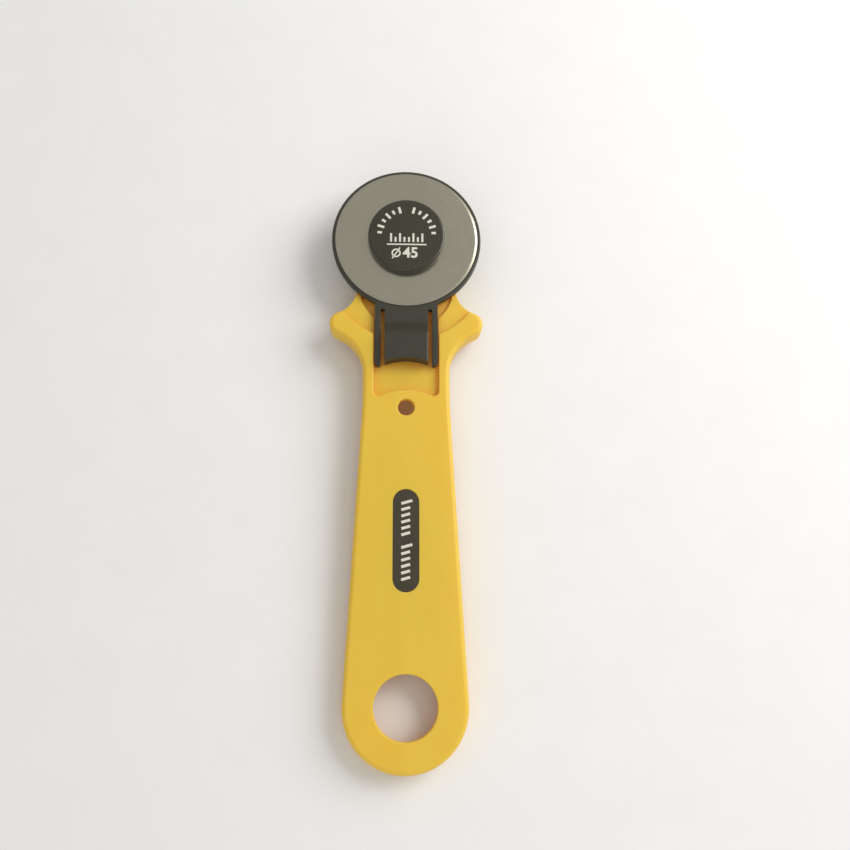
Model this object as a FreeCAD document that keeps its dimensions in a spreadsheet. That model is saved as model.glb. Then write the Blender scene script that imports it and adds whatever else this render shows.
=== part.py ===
import FreeCAD, Part
import math
import os

import Sketcher
from FreeCAD import Vector

# Rotary cutter for a 45 mm blade, lying on its back: +Z is the blade side, +Y points to the head.
# Plan positions are measured from the blade's axis; Z is measured from the back of the nut's knob.
# The whole object is then moved along Y so that the origin is under the middle of its box.

DIMENSIONS = {
    # heights of the levels, from the knob's back up
    "back_rim": 4.5,           # rim of the handle's walls; the knob stands out behind it
    "face_top": 12.0,          # flat front face of the grip
    "disc_floor": 10.8,        # floor of the shallow recess that the guard's disc slides on
    "channel_floor": 10.3,     # floor of the channel that the guard's stem slides in
    "plate_back": 7.2,         # back of the head plate and of the channel's floor
    "grip_ceiling": 9.5,       # inside face of the grip's front skin
    # handle in plan
    "neck_half": 15.4,         # half width and end radius of the head plate
    "neck_blend": 8.8,         # hollow between neck and lobe
    "lobe_across": 20.2,       # centre of a finger lobe, to the side
    "lobe_down": 27.8,         # centre of a finger lobe, towards the tail
    "lobe_round": 3.7,
    "waist_half": 13.3,
    "waist_start": 43.8,       # the straight waist begins this far from the axis
    "waist_end": 50.0,
    "waist_blend": 130.0,      # long curve from the waist to the taper
    "tail_down": 142.0,        # centre of the round tail and of its hanging hole
    "tail_round": 18.0,
    "front_round": 1.4,        # rounded front edge
    "rim_chamfer": 0.4,
    "wall": 2.2,
    # recesses in the front
    "travel": 8.0,             # guard's stroke
    "disc_recess": 25.6,
    "root_recess": 15.1,       # pocket that clears the flare where the guard's stem meets its disc
    "root_down": 14.7,
    "root_top": 9.6,
    "root_half": 14.3,
    "root_gap": 0.3,
    "root_floor": 9.7,
    "channel_half": 10.0,
    "channel_corner": 1.6,
    "channel_arch": 18.8,      # radius of the channel's arched end
    "channel_arch_top": 49.5,
    "arch_land": 2.0,          # material between the channel's end and the grip's hollow
    "lug_slot_half": 2.7,
    "lug_slot_top": 27.0,
    "lug_slot_bottom": 39.7,
    "recess_round": 0.35,      # rounded rim of the channel and of the two holes
    # holes
    "small_hole": 2.55,
    "small_hole_down": 54.9,
    "hang_hole": 9.15,
    "bolt_hole": 4.05,
    "bolt_hole_flat": 3.2,
    # nut bay behind the head plate
    "bay_round": 16.5,
    "bay_edge": 11.0,
    # ribs across the hollow grip
    "rib_count": 5,
    "rib_first": 66.0,
    "rib_pitch": 13.0,
    "rib_thick": 1.5,
    "rib_foot": 5.5,           # lower edge of the ribs, above the back rim
    "rib_root": 0.5,           # and run this far into the skin
    # label plate
    "label_half": 3.9,
    "label_top": 80.0,
    "label_bottom": 110.1,
    "label_depth": 0.9,
    "label_sink": 0.15,        # plate lies this far below the face
    "label_gap": 0.08,
    # blade guard
    "slide_gap": 0.1,          # face to face between sliding pieces
    "guard_round": 23.6,
    "disc_edge": 0.4,
    "guard_top": 12.5,
    "stem_half": 9.75,
    "arm_inner": 8.0,
    "tongue_half": 6.7,
    "arm_slot_top": 23.6,
    "arm_end": 42.1,
    "tongue_end": 41.5,
    "arm_round": 1.6,
    "tongue_arch": 18.8,       # radius of the hollow in the tongue's end
    "tongue_arch_top": 40.0,
    "pad_top": 15.0,           # raised thumb pad
    "pad_root": 0.5,
    "pad_start": 28.2,
    "pad_crest": 31.9,
    "pad_round": 0.45,
    "bolt_slot": 4.25,
    "lug_half": 2.3,
    "lug_top": 27.4,
    "lug_bottom": 31.2,
    "hook_half": 3.8,
    "hook_low": 5.6,
    "hook_high": 6.9,
    # blade
    "blade_round": 22.5,
    "blade_bore": 4.05,
    "blade_thick": 0.3,
    "blade_low": 12.6,
    "blade_bevel": 0.7,
    "blade_edge": 0.04,
    # bolt and its moulded head
    "cap_low": 13.0,
    "cap_high": 15.9,
    "cap_crown": 0.15,
    "cap_round": 12.1,
    "cap_edge": 0.8,
    "flange_round": 7.0,
    "flange_thick": 1.2,
    "flange_gap": 0.05,
    "shoulder_round": 3.95,
    "shoulder_low": 7.35,
    "shoulder_flat": 3.1,
    "thread_round": 2.95,
    "thread_low": 0.9,
    "thread_chamfer": 0.5,
    # spring washer, nut and knob
    "washer_low": 6.15,
    "washer_high": 7.15,
    "washer_thick": 0.4,
    "washer_outer": 8.5,
    "washer_bore": 3.35,
    "knob_low": 0.0,
    "knob_high": 6.1,
    "knob_round": 10.4,
    "knob_chamfer": 0.9,
    "knob_flutes": 16,
    "flute_round": 1.5,
    "flute_reach": 11.2,       # flute centres from the axis
    "knob_bore": 3.4,
    "insert_low": 1.6,
    "insert_across": 10.0,     # hexagon across flats
    "insert_bore": 3.0,
    "insert_gap": 0.03,
}

BLADE_AXIS_Y = (DIMENSIONS["tail_down"] + DIMENSIONS["tail_round"] - DIMENSIONS["guard_round"]) / 2
START, END, CENTRE = 1, 2, 3
X_AXIS, Y_AXIS = -1, -2

# A cut that has to pass right out of a body runs this many times the body's own size.
PAST = 2


class Size:
    """A length together with the sheet expression that gives it."""

    def __init__(self, value, text):
        self.value = value
        self.text = text

    def joined(self, other, sign, value):
        return Size(value, f"({self.text} {sign} {size(other).text})")

    def __add__(self, other):
        return self.joined(other, "+", self.value + size(other).value)

    def __sub__(self, other):
        return self.joined(other, "-", self.value - size(other).value)

    def __mul__(self, other):
        return self.joined(other, "*", self.value * size(other).value)

    def __truediv__(self, other):
        return self.joined(other, "/", self.value / size(other).value)

    def __neg__(self):
        return self * -1


def size(thing):
    """Turn a plain number into a Size; leave a Size as it is."""
    if isinstance(thing, Size):
        return thing
    return Size(float(thing), repr(thing))


def dim(name):
    """The named cell of the sheet."""
    return Size(float(DIMENSIONS[name]), f"dims.{name}")


def make_sheet(doc):
    sheet = doc.addObject("Spreadsheet::Sheet", "dims")
    for row, (name, value) in enumerate(DIMENSIONS.items(), start=1):
        sheet.set(f"A{row}", name)
        sheet.set(f"B{row}", str(value))
        sheet.setAlias(f"B{row}", name)
    doc.recompute()


class Segment:
    """One line or arc of a sketch, with the ends named in drawing order."""

    def __init__(self, index, first, last):
        self.index = index
        self.first = first
        self.last = last


class Drawing:
    """A sketch on one of its body's origin planes, with sizes bound to the sheet."""

    def __init__(self, body, name, plane="XY_Plane", height=None):
        self.sketch = body.newObject("Sketcher::SketchObject", name)
        origin_plane = next(f for f in body.Origin.OriginFeatures if f.Role == plane)
        self.sketch.AttachmentSupport = [(origin_plane, "")]
        self.sketch.MapMode = "FlatFace"
        if height is not None:
            self.sketch.setExpression("AttachmentOffset.Base.z", size(height).text)

    def limit(self, kind, *where, value=None):
        """Add a constraint; a value is bound to its expression."""
        if value is None:
            self.sketch.addConstraint(Sketcher.Constraint(kind, *where))
            return
        number = self.sketch.addConstraint(Sketcher.Constraint(kind, *where, size(value).value))
        if "dims." in size(value).text:
            self.sketch.setExpression(f"Constraints[{number}]", size(value).text)

    def place(self, index, end, x=None, y=None):
        """Hold a point at x and y; zero holds it on the axis."""
        for kind, coordinate, axis in (("DistanceX", x, Y_AXIS), ("DistanceY", y, X_AXIS)):
            if coordinate is None:
                continue
            if size(coordinate).value == 0:
                self.limit("PointOnObject", index, end, axis)
            else:
                self.limit(kind, index, end, value=coordinate)

    def line(self, start, end):
        ends = [Vector(size(x).value, size(y).value, 0) for x, y in (start, end)]
        index = self.sketch.addGeometry(Part.LineSegment(*ends), False)
        return Segment(index, START, END)

    def arc(self, centre, radius, start_angle, end_angle):
        """An arc drawn from one angle to the other, in degrees, either way round."""
        middle = Vector(size(centre[0]).value, size(centre[1]).value, 0)
        circle = Part.Circle(middle, Vector(0, 0, 1), size(radius).value)
        low, high = sorted((math.radians(start_angle), math.radians(end_angle)))
        index = self.sketch.addGeometry(Part.ArcOfCircle(circle, low, high), False)
        if start_angle < end_angle:
            return Segment(index, START, END)
        return Segment(index, END, START)

    def circle(self, x, y, radius):
        middle = Vector(size(x).value, size(y).value, 0)
        index = self.sketch.addGeometry(Part.Circle(middle, Vector(0, 0, 1), size(radius).value), False)
        self.place(index, CENTRE, x, y)
        self.limit("Radius", index, value=radius)

    def join(self, one, other, smooth=False):
        """Join the end of one segment to the start of the next."""
        kind = "Tangent" if smooth else "Coincident"
        self.limit(kind, one.index, one.last, other.index, other.first)

    def polygon(self, corners):
        """A closed outline of straight lines, each corner held at its place."""
        sides = [self.line(a, b) for a, b in zip(corners, corners[1:] + corners[:1])]
        for side, (x, y) in zip(sides, corners):
            self.place(side.index, START, x, y)
        for side, following in zip(sides, sides[1:] + sides[:1]):
            self.join(side, following)

    def rectangle(self, left, right, low, high):
        self.polygon([(left, low), (right, low), (right, high), (left, high)])

    def upright_slot(self, half, low, high):
        """A slot along Y with round ends, centred on the Y axis; low and high are the arcs' centres."""
        top = self.arc((0, high), half, 0, 180)
        left = self.line((-size(half), high), (-size(half), low))
        bottom = self.arc((0, low), half, 180, 360)
        right = self.line((half, low), (half, high))
        self.place(top.index, CENTRE, 0, high)
        self.place(bottom.index, CENTRE, 0, low)
        self.limit("Radius", top.index, value=half)
        for one, other in ((top, left), (left, bottom), (bottom, right), (right, top)):
            self.join(one, other, smooth=True)


def bound(body, kind, name, profile, **sizes):
    """A PartDesign feature with its sizes bound to the sheet."""
    feature = body.newObject(kind, name)
    if profile is not None:
        feature.Profile = profile.sketch
        profile.sketch.Visibility = False
    for key, value in sizes.items():
        feature.setExpression(key, size(value).text)
    return feature


def pad(body, name, profile, length):
    feature = bound(body, "PartDesign::Pad", name, profile, Length=length)
    body.Document.recompute()
    return feature


def pocket(body, name, profile, length, upward=True):
    """Cut the profile away, upward from its plane or down; it has to remove something."""
    volume = body.Shape.Volume
    feature = bound(body, "PartDesign::Pocket", name, profile, Length=length)
    feature.Reversed = upward
    body.Document.recompute()
    if body.Shape.Volume > volume - 1e-3:
        raise RuntimeError(f"{name} cuts nothing")
    return feature


def revolve(body, name, profile):
    """Turn a profile in the XZ plane about the Z axis."""
    feature = bound(body, "PartDesign::Revolution", name, profile)
    feature.ReferenceAxis = (profile.sketch, ["V_Axis"])
    feature.Angle = 360
    body.Document.recompute()
    return feature


def dress(body, kind, name, amount, wanted):
    """Round or chamfer every edge of the body for which wanted(edge) is true."""
    base = body.Tip
    edges = [f"Edge{n}" for n, edge in enumerate(base.Shape.Edges, start=1) if wanted(edge)]
    if not edges:
        raise RuntimeError(f"{name} finds no edges")
    feature = body.newObject(f"PartDesign::{kind}", name)
    feature.Base = (base, edges)
    feature.setExpression("Radius" if kind == "Fillet" else "Size", size(amount).text)
    body.Document.recompute()
    return feature


def lies_at(edge, height):
    """True for an edge that lies wholly at one height."""
    box = edge.BoundBox
    level = size(height).value
    return abs(box.ZMin - level) < 1e-4 and abs(box.ZMax - level) < 1e-4


def new_body(doc, label):
    body = doc.addObject("PartDesign::Body", label)
    body.Label = label
    return body


# ---------------------------------------------------------------- handle

def turned(angle, side):
    """Mirror an angle for the left side."""
    return angle if side > 0 else 180 - angle


def taper_side(draw, side, inset):
    """Long blend out of the waist and the straight taper to the tail, on one side."""
    waist_blend = dim("waist_blend") + inset
    tail_round = dim("tail_round") - inset
    blend_x = dim("waist_half").value + dim("waist_blend").value
    drop = (dim("tail_down") - dim("waist_end")).value
    touch = (dim("waist_blend") + dim("tail_round")).value
    lean = math.degrees(math.acos(touch / math.hypot(blend_x, drop)) - math.atan2(drop, blend_x))
    lean_cos = math.cos(math.radians(lean))
    lean_sin = math.sin(math.radians(lean))
    blend = draw.arc((blend_x * side, -dim("waist_end")), waist_blend,
                     turned(180, side), turned(180 - lean, side))
    taper_top = (side * (blend_x - waist_blend.value * lean_cos),
                 waist_blend.value * lean_sin - dim("waist_end").value)
    taper_end = (side * tail_round.value * lean_cos, -dim("tail_down").value - tail_round.value * lean_sin)
    taper = draw.line(taper_top, taper_end)
    draw.join(blend, taper, smooth=True)
    draw.limit("Radius", blend.index, value=waist_blend)
    return blend, taper, lean


def grip_side(draw, side, inset):
    """One side of the handle's outline from the neck to the tail, inset by a wall."""
    neck_blend = dim("neck_blend") + inset
    lobe = (dim("lobe_across") * side, -dim("lobe_down"))
    lobe_round = dim("lobe_round") - inset
    waist = dim("waist_half") - inset

    # hollow above the lobe: touches the neck's side and the lobe
    blend_x = dim("neck_half").value + dim("neck_blend").value
    reach = dim("neck_blend").value + dim("lobe_round").value
    blend_y = -dim("lobe_down").value + math.sqrt(reach ** 2 - (blend_x - dim("lobe_across").value) ** 2)
    to_lobe = math.degrees(math.atan2(-dim("lobe_down").value - blend_y, dim("lobe_across").value - blend_x))

    # hollow below the lobe: touches the lobe and the waist
    across = (dim("lobe_across") - dim("waist_half")).value
    down = (dim("waist_start") - dim("lobe_down")).value
    lobe_size = dim("lobe_round").value
    hollow = (across ** 2 + down ** 2 - lobe_size ** 2) / (2 * (across + lobe_size))
    hollow_x = dim("waist_half").value + hollow
    to_hollow = math.degrees(math.atan2(-down, hollow_x - dim("lobe_across").value))

    def arc(x, y, radius, start, end):
        return draw.arc((x * side, y), radius, turned(start, side), turned(end, side))

    upper = arc(blend_x, blend_y, neck_blend, 180, 360 + to_lobe)
    tip = arc(dim("lobe_across").value, lobe[1], lobe_round, 180 + to_lobe, to_hollow)
    lower = arc(hollow_x, -dim("waist_start"), hollow + size(inset).value, 180 + to_hollow, 180)
    straight = draw.line((waist * side, -dim("waist_start")), (waist * side, -dim("waist_end")))
    blend, taper, lean = taper_side(draw, side, inset)
    for one, other in ((upper, tip), (tip, lower), (lower, straight), (straight, blend)):
        draw.join(one, other, smooth=True)
    draw.limit("Radius", upper.index, value=neck_blend)
    draw.place(tip.index, CENTRE, lobe[0], lobe[1])
    draw.limit("Radius", tip.index, value=lobe_round)
    draw.place(straight.index, START, waist * side, -dim("waist_start"))
    draw.place(straight.index, END, None, -dim("waist_end"))
    draw.limit("Vertical", straight.index)
    return upper, taper, lean


def tail_arc(draw, inset, right, left, lean):
    """The round tail between the two tapers."""
    radius = dim("tail_round") - inset
    tail = draw.arc((0, -dim("tail_down")), radius, -lean, -180 + lean)
    draw.place(tail.index, CENTRE, 0, -dim("tail_down"))
    draw.limit("Radius", tail.index, value=radius)
    draw.join(right, tail, smooth=True)
    draw.limit("Tangent", tail.index, tail.last, left.index, left.last)


def handle_outline(body):
    """Head plate, neck, finger lobes, waist, taper and round tail."""
    draw = Drawing(body, "handle_outline", height=dim("back_rim"))
    half = dim("neck_half")
    head = draw.arc((0, 0), half, 0, 180)
    draw.place(head.index, CENTRE, 0, 0)
    draw.limit("Radius", head.index, value=half)
    draw.limit("PointOnObject", head.index, head.first, X_AXIS)
    draw.limit("PointOnObject", head.index, head.last, X_AXIS)
    tapers = []
    for side, head_end in ((1, head.first), (-1, head.last)):
        upper, taper, lean = grip_side(draw, side, 0)
        neck = draw.line((half * side, 0), (half * side, -dim("neck_blend")))
        draw.limit("Coincident", head.index, head_end, neck.index, neck.first)
        draw.limit("Vertical", neck.index)
        draw.join(neck, upper, smooth=True)
        tapers.append(taper)
    tail_arc(draw, 0, tapers[0], tapers[1], lean)
    return draw


def hollow_outline(body):
    """Inside of the walls, from the wall behind the nut bay to the tail."""
    draw = Drawing(body, "hollow_outline")
    radius = dim("bay_round") + dim("wall")
    bulkhead = draw.arc((0, 0), radius, -48, -132)  # ends settle on the side walls
    draw.place(bulkhead.index, CENTRE, 0, 0)
    draw.limit("Radius", bulkhead.index, value=radius)
    tapers = []
    for side, end in ((1, bulkhead.first), (-1, bulkhead.last)):
        upper, taper, lean = grip_side(draw, side, dim("wall"))
        draw.place(upper.index, CENTRE, (dim("neck_half") + dim("neck_blend")) * side)
        draw.limit("Coincident", bulkhead.index, end, upper.index, upper.first)
        tapers.append(taper)
    tail_arc(draw, dim("wall"), tapers[0], tapers[1], lean)
    return draw


def channel_outline(body):
    """Channel for the guard's stem, with round corners and an arched end."""
    draw = Drawing(body, "channel_outline", height=dim("channel_floor"))
    half = dim("channel_half")
    corner = dim("channel_corner")
    arch_down = dim("channel_arch_top") + dim("channel_arch")
    corner_x = (half - corner).value
    rise = math.sqrt((dim("channel_arch") + corner).value ** 2 - corner_x ** 2)
    corner_y = rise - arch_down.value
    lean = math.degrees(math.atan2(rise, corner_x))
    top = draw.line((half, -dim("root_top")), (-half, -dim("root_top")))
    left = draw.line((-half, -dim("root_top")), (-half, corner_y))
    left_corner = draw.arc((-corner_x, corner_y), corner, 180, 360 - lean)
    arch = draw.arc((0, -arch_down), dim("channel_arch"), 180 - lean, lean)
    right_corner = draw.arc((corner_x, corner_y), corner, -180 + lean, 0)
    right = draw.line((half, corner_y), (half, -dim("root_top")))
    draw.place(top.index, START, half, -dim("root_top"))
    draw.place(top.index, END, -half, -dim("root_top"))
    draw.place(arch.index, CENTRE, 0, -arch_down)
    draw.limit("Radius", arch.index, value=dim("channel_arch"))
    for side, bend in ((left, left_corner), (right, right_corner)):
        draw.limit("Vertical", side.index)
        draw.limit("Radius", bend.index, value=corner)
    draw.join(top, left)
    draw.join(right, top)
    for one, other in ((left, left_corner), (left_corner, arch), (arch, right_corner), (right_corner, right)):
        draw.join(one, other, smooth=True)
    return draw


def root_outline(body, name, height, down, inset):
    """Flare at the root of the guard's stem: straight sides and a round lower edge."""
    draw = Drawing(body, name, height=height)
    half = dim("root_half") - inset
    radius = dim("root_recess") - inset
    top = -dim("root_top") - inset
    drop = math.sqrt(radius.value ** 2 - half.value ** 2)
    lean = math.degrees(math.atan2(drop, half.value))
    upper = draw.line((half, top), (-half, top))
    left = draw.line((-half, top), (-half, -down.value - drop))
    bottom = draw.arc((0, -down), radius, -180 + lean, -lean)
    right = draw.line((half, -down.value - drop), (half, top))
    draw.place(upper.index, START, half, top)
    draw.place(upper.index, END, -half, top)
    draw.place(bottom.index, CENTRE, 0, -down)
    draw.limit("Radius", bottom.index, value=radius)
    draw.limit("Vertical", left.index)
    draw.limit("Vertical", right.index)
    for one, other in ((upper, left), (left, bottom), (bottom, right), (right, upper)):
        draw.join(one, other)
    return draw


def grip_hollow_outline(body):
    """The deep hollow under the grip, from the arched end of the channel to the tail."""
    draw = Drawing(body, "grip_hollow_outline")
    inset = dim("wall")
    radius = dim("channel_arch") - dim("arch_land")
    centre_y = -(dim("channel_arch_top") + dim("channel_arch"))
    arch = draw.arc((0, centre_y), radius, 50, 130)  # ends settle on the side walls
    draw.place(arch.index, CENTRE, 0, centre_y)
    draw.limit("Radius", arch.index, value=radius)
    tapers = []
    for side, end in ((1, arch.first), (-1, arch.last)):
        blend, taper, lean = taper_side(draw, side, inset)
        draw.place(blend.index, CENTRE, (dim("waist_half") + dim("waist_blend")) * side, -dim("waist_end"))
        draw.limit("Coincident", arch.index, end, blend.index, blend.first)
        tapers.append(taper)
    tail_arc(draw, inset, tapers[0], tapers[1], lean)
    return draw


def nut_bay_outline(body):
    """Space behind the head plate where fingers reach the nut: open above, round below."""
    draw = Drawing(body, "nut_bay_outline")
    side = dim("neck_half") * PAST
    radius = dim("bay_round")
    edge = -dim("bay_edge")
    reach = math.sqrt(radius.value ** 2 - edge.value ** 2)
    lean = math.degrees(math.atan2(-edge.value, reach))
    curve = draw.arc((0, 0), radius, -180 + lean, -lean)
    corners = [(reach, edge), (side, edge), (side, side), (-side, side), (-side, edge), (-reach, edge)]
    sides = [draw.line(a, b) for a, b in zip(corners, corners[1:])]
    draw.place(curve.index, CENTRE, 0, 0)
    draw.limit("Radius", curve.index, value=radius)
    draw.join(curve, sides[0])
    draw.join(sides[-1], curve)
    for one, other in zip(sides, sides[1:]):
        draw.join(one, other)
    for line, (x, y) in zip(sides[1:], corners[1:]):
        draw.place(line.index, START, x, y)
    draw.limit("Horizontal", sides[0].index)
    draw.limit("Horizontal", sides[-1].index)
    return draw


def keyed_hole_outline(body):
    """Bolt hole with two flats that stop the bolt turning."""
    draw = Drawing(body, "keyed_hole_outline", height=dim("plate_back"))
    flat = dim("bolt_hole_flat")
    radius = dim("bolt_hole")
    rise = math.sqrt(radius.value ** 2 - flat.value ** 2)
    lean = math.degrees(math.atan2(rise, flat.value))
    top = draw.arc((0, 0), radius, lean, 180 - lean)
    left = draw.line((-flat, rise), (-flat, -rise))
    bottom = draw.arc((0, 0), radius, 180 + lean, 360 - lean)
    right = draw.line((flat, -rise), (flat, rise))
    for curve in (top, bottom):
        draw.place(curve.index, CENTRE, 0, 0)
        draw.limit("Radius", curve.index, value=radius)
    draw.place(left.index, START, -flat)
    draw.place(right.index, START, flat)
    draw.limit("Vertical", left.index)
    draw.limit("Vertical", right.index)
    for one, other in ((top, left), (left, bottom), (bottom, right), (right, top)):
        draw.join(one, other)
    return draw


def cut_front(body):
    """Recesses in the front: for the disc, the stem and its root, and the label plate."""
    face = dim("face_top")
    disc = Drawing(body, "disc_recess_outline", height=dim("disc_floor"))
    disc.circle(0, -dim("travel"), dim("disc_recess"))
    pocket(body, "disc_recess", disc, face - dim("disc_floor"))
    pocket(body, "channel", channel_outline(body), face - dim("channel_floor"))
    root = root_outline(body, "root_recess_outline", dim("root_floor"), dim("root_down"), 0)
    pocket(body, "root_recess", root, face - dim("root_floor"))
    half = dim("label_half")
    label = Drawing(body, "label_recess_outline", height=face - dim("label_depth"))
    label.upright_slot(half, half - dim("label_bottom"), -half - dim("label_top"))
    pocket(body, "label_recess", label, dim("label_depth"))

    def channel_rim(edge):
        box = edge.BoundBox
        inside = max(-box.XMin, box.XMax) < dim("channel_half").value + 0.01
        return inside and lies_at(edge, face) and box.YMin > -dim("small_hole_down").value

    dress(body, "Fillet", "channel_edge", dim("recess_round"), channel_rim)


def cut_back(body):
    """Hollows in the back, leaving the walls, the front skin and the head plate."""
    pocket(body, "hollow", hollow_outline(body), dim("plate_back"))
    pocket(body, "grip_hollow", grip_hollow_outline(body), dim("grip_ceiling"))
    pocket(body, "nut_bay", nut_bay_outline(body), dim("plate_back"))


def cut_holes(body):
    """Bolt hole, slot for the guard's lug, small hole and hanging hole."""
    face = dim("face_top")
    pocket(body, "bolt_hole", keyed_hole_outline(body), face - dim("plate_back"))
    slot = Drawing(body, "lug_slot_outline", height=dim("plate_back"))
    slot.rectangle(-dim("lug_slot_half"), dim("lug_slot_half"), -dim("lug_slot_bottom"), -dim("lug_slot_top"))
    pocket(body, "lug_slot", slot, face - dim("plate_back"))
    for name, down in (("small_hole", dim("small_hole_down")), ("hang_hole", dim("tail_down"))):
        hole = Drawing(body, f"{name}_outline", height=dim("plate_back"))
        hole.circle(0, -down, dim(name))
        pocket(body, name, hole, face - dim("plate_back"))

    radii = [dim("small_hole").value, dim("hang_hole").value]

    def hole_rim(edge):
        radius = getattr(edge.Curve, "Radius", 0)
        return lies_at(edge, face) and min(abs(radius - wanted) for wanted in radii) < 1e-6

    dress(body, "Fillet", "hole_edges", dim("recess_round"), hole_rim)


def add_ribs(body):
    """Cross ribs between the walls of the hollow grip."""
    taper = (dim("tail_round") - dim("waist_half")) / (dim("tail_down") - dim("waist_end"))
    for number in range(DIMENSIONS["rib_count"]):
        down = dim("rib_first") + dim("rib_pitch") * number
        half = dim("waist_half") + (down - dim("waist_end")) * taper - dim("wall") / 2
        rib = Drawing(body, f"rib_{number + 1}_outline", height=dim("rib_foot"))
        rib.rectangle(-half, half, -down - dim("rib_thick") / 2, dim("rib_thick") / 2 - down)
        pad(body, f"rib_{number + 1}", rib, dim("grip_ceiling") - dim("rib_foot") + dim("rib_root"))


def make_handle(doc):
    """One moulding: flat grip open at the back, finger lobes, channel and head plate."""
    body = new_body(doc, "handle")
    face = dim("face_top")
    rim = dim("back_rim")
    pad(body, "handle_block", handle_outline(body), face - rim)
    dress(body, "Fillet", "front_edge", dim("front_round"), lambda edge: lies_at(edge, face))
    dress(body, "Chamfer", "back_rim", dim("rim_chamfer"), lambda edge: lies_at(edge, rim))
    cut_front(body)
    cut_back(body)
    cut_holes(body)
    add_ribs(body)
    return body


def make_label_plate(doc):
    """Flat plate set into the grip."""
    body = new_body(doc, "label_plate")
    low = dim("face_top") - dim("label_depth")
    half = dim("label_half")
    draw = Drawing(body, "label_plate_outline", height=low)
    draw.upright_slot(half - dim("label_gap"), half - dim("label_bottom"), -half - dim("label_top"))
    pad(body, "label_plate_block", draw, dim("label_depth") - dim("label_sink"))
    return body


# ---------------------------------------------------------------- blade guard

def stem_outline(body):
    """Stem of the guard: two springy side arms and a wide tongue between them."""
    draw = Drawing(body, "stem_outline", height=dim("channel_floor") + dim("slide_gap"))
    outer = dim("stem_half")
    inner = dim("arm_inner")
    tongue = dim("tongue_half")
    top = -dim("root_top") - dim("root_gap")
    arm_end = -dim("arm_end")
    slot_top = -dim("arm_slot_top")
    right = [(outer, top), (outer, arm_end), (inner, arm_end), (inner, slot_top),
             (tongue, slot_top), (tongue, -dim("tongue_end"))]
    left = [(-x, y) for x, y in reversed(right)]
    draw.polygon(right + left)
    return draw


def thumb_pad_outline(body):
    """Side view of the raised thumb pad: a hollow ramp, then a flat top."""
    draw = Drawing(body, "thumb_pad_outline", plane="YZ_Plane")
    low = dim("guard_top") - dim("pad_root")
    high = dim("pad_top")
    start = -dim("pad_start")
    crest = -dim("pad_crest")
    end = -dim("tongue_end")
    draw.polygon([(start, low), (start, dim("guard_top")), (crest, high), (end, high), (end, low)])
    return draw


def make_guard(doc):
    """Sliding guard: disc behind the blade, stem, thumb pad and the lug that holds it down."""
    body = new_body(doc, "blade_guard")
    gap = dim("slide_gap")
    top = dim("guard_top")
    disc_low = dim("disc_floor") + gap
    stem_low = dim("channel_floor") + gap
    root_low = dim("root_floor") + gap

    disc = Drawing(body, "disc_outline", height=disc_low)
    disc.circle(0, 0, dim("guard_round"))
    pad(body, "disc", disc, top - disc_low)
    dress(body, "Fillet", "disc_edge", dim("disc_edge"), lambda edge: lies_at(edge, top))

    pad(body, "stem", stem_outline(body), top - stem_low)
    root_down = dim("root_down") - dim("travel")
    root = root_outline(body, "root_outline", root_low, root_down, dim("root_gap"))
    pad(body, "root", root, disc_low - root_low + gap)

    thumb = pad(body, "thumb_pad", thumb_pad_outline(body), dim("tongue_half") * 2)
    thumb.Midplane = True
    doc.recompute()

    def arm_corner(edge):
        box = edge.BoundBox
        outer = abs(abs(box.Center.x) - dim("stem_half").value) < 1e-3
        return outer and abs(box.YMax + dim("arm_end").value) < 1e-3 and box.YLength < 1e-3

    def pad_side(edge):
        box = edge.BoundBox
        upper = box.ZMin > top.value - 1e-3 and box.YLength > 1e-3 and box.XLength < 1e-3
        return upper and abs(abs(box.XMax) - dim("tongue_half").value) < 1e-3 and box.ZMax > top.value + 1e-3

    dress(body, "Fillet", "arm_corners", dim("arm_round"), arm_corner)
    dress(body, "Fillet", "pad_sides", dim("pad_round"), pad_side)

    arch = Drawing(body, "tongue_arch_outline", height=0)
    arch.circle(0, -(dim("tongue_arch_top") + dim("tongue_arch")), dim("tongue_arch"))
    pocket(body, "tongue_arch", arch, dim("pad_top") * PAST)

    slot = Drawing(body, "bolt_slot_outline", height=0)
    slot.upright_slot(dim("bolt_slot"), 0, dim("travel") + dim("root_gap"))
    pocket(body, "bolt_slot", slot, dim("pad_top") * PAST)

    low = dim("hook_low")
    lug = Drawing(body, "lug_outline", height=low)
    lug.rectangle(-dim("lug_half"), dim("lug_half"), -dim("lug_bottom"), -dim("lug_top"))
    pad(body, "lug", lug, stem_low - low + gap)
    hook = Drawing(body, "hook_outline", height=low)
    hook.rectangle(-dim("hook_half"), dim("hook_half"), -dim("lug_bottom"), -dim("lug_top"))
    pad(body, "hook", hook, dim("hook_high") - low)
    return body


# ---------------------------------------------------------------- blade, bolt and cap

def make_blade(doc):
    """Round steel blade, ground to an edge on both faces."""
    body = new_body(doc, "blade")
    low = dim("blade_low")
    high = low + dim("blade_thick")
    middle = low + dim("blade_thick") / 2
    bore = dim("blade_bore")
    land = dim("blade_round") - dim("blade_bevel")
    half_edge = dim("blade_edge") / 2
    draw = Drawing(body, "blade_profile", plane="XZ_Plane")
    draw.polygon([(bore, low), (land, low), (dim("blade_round"), middle - half_edge),
                  (dim("blade_round"), middle + half_edge), (land, high), (bore, high)])
    revolve(body, "blade_disc", draw)
    return body


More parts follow.
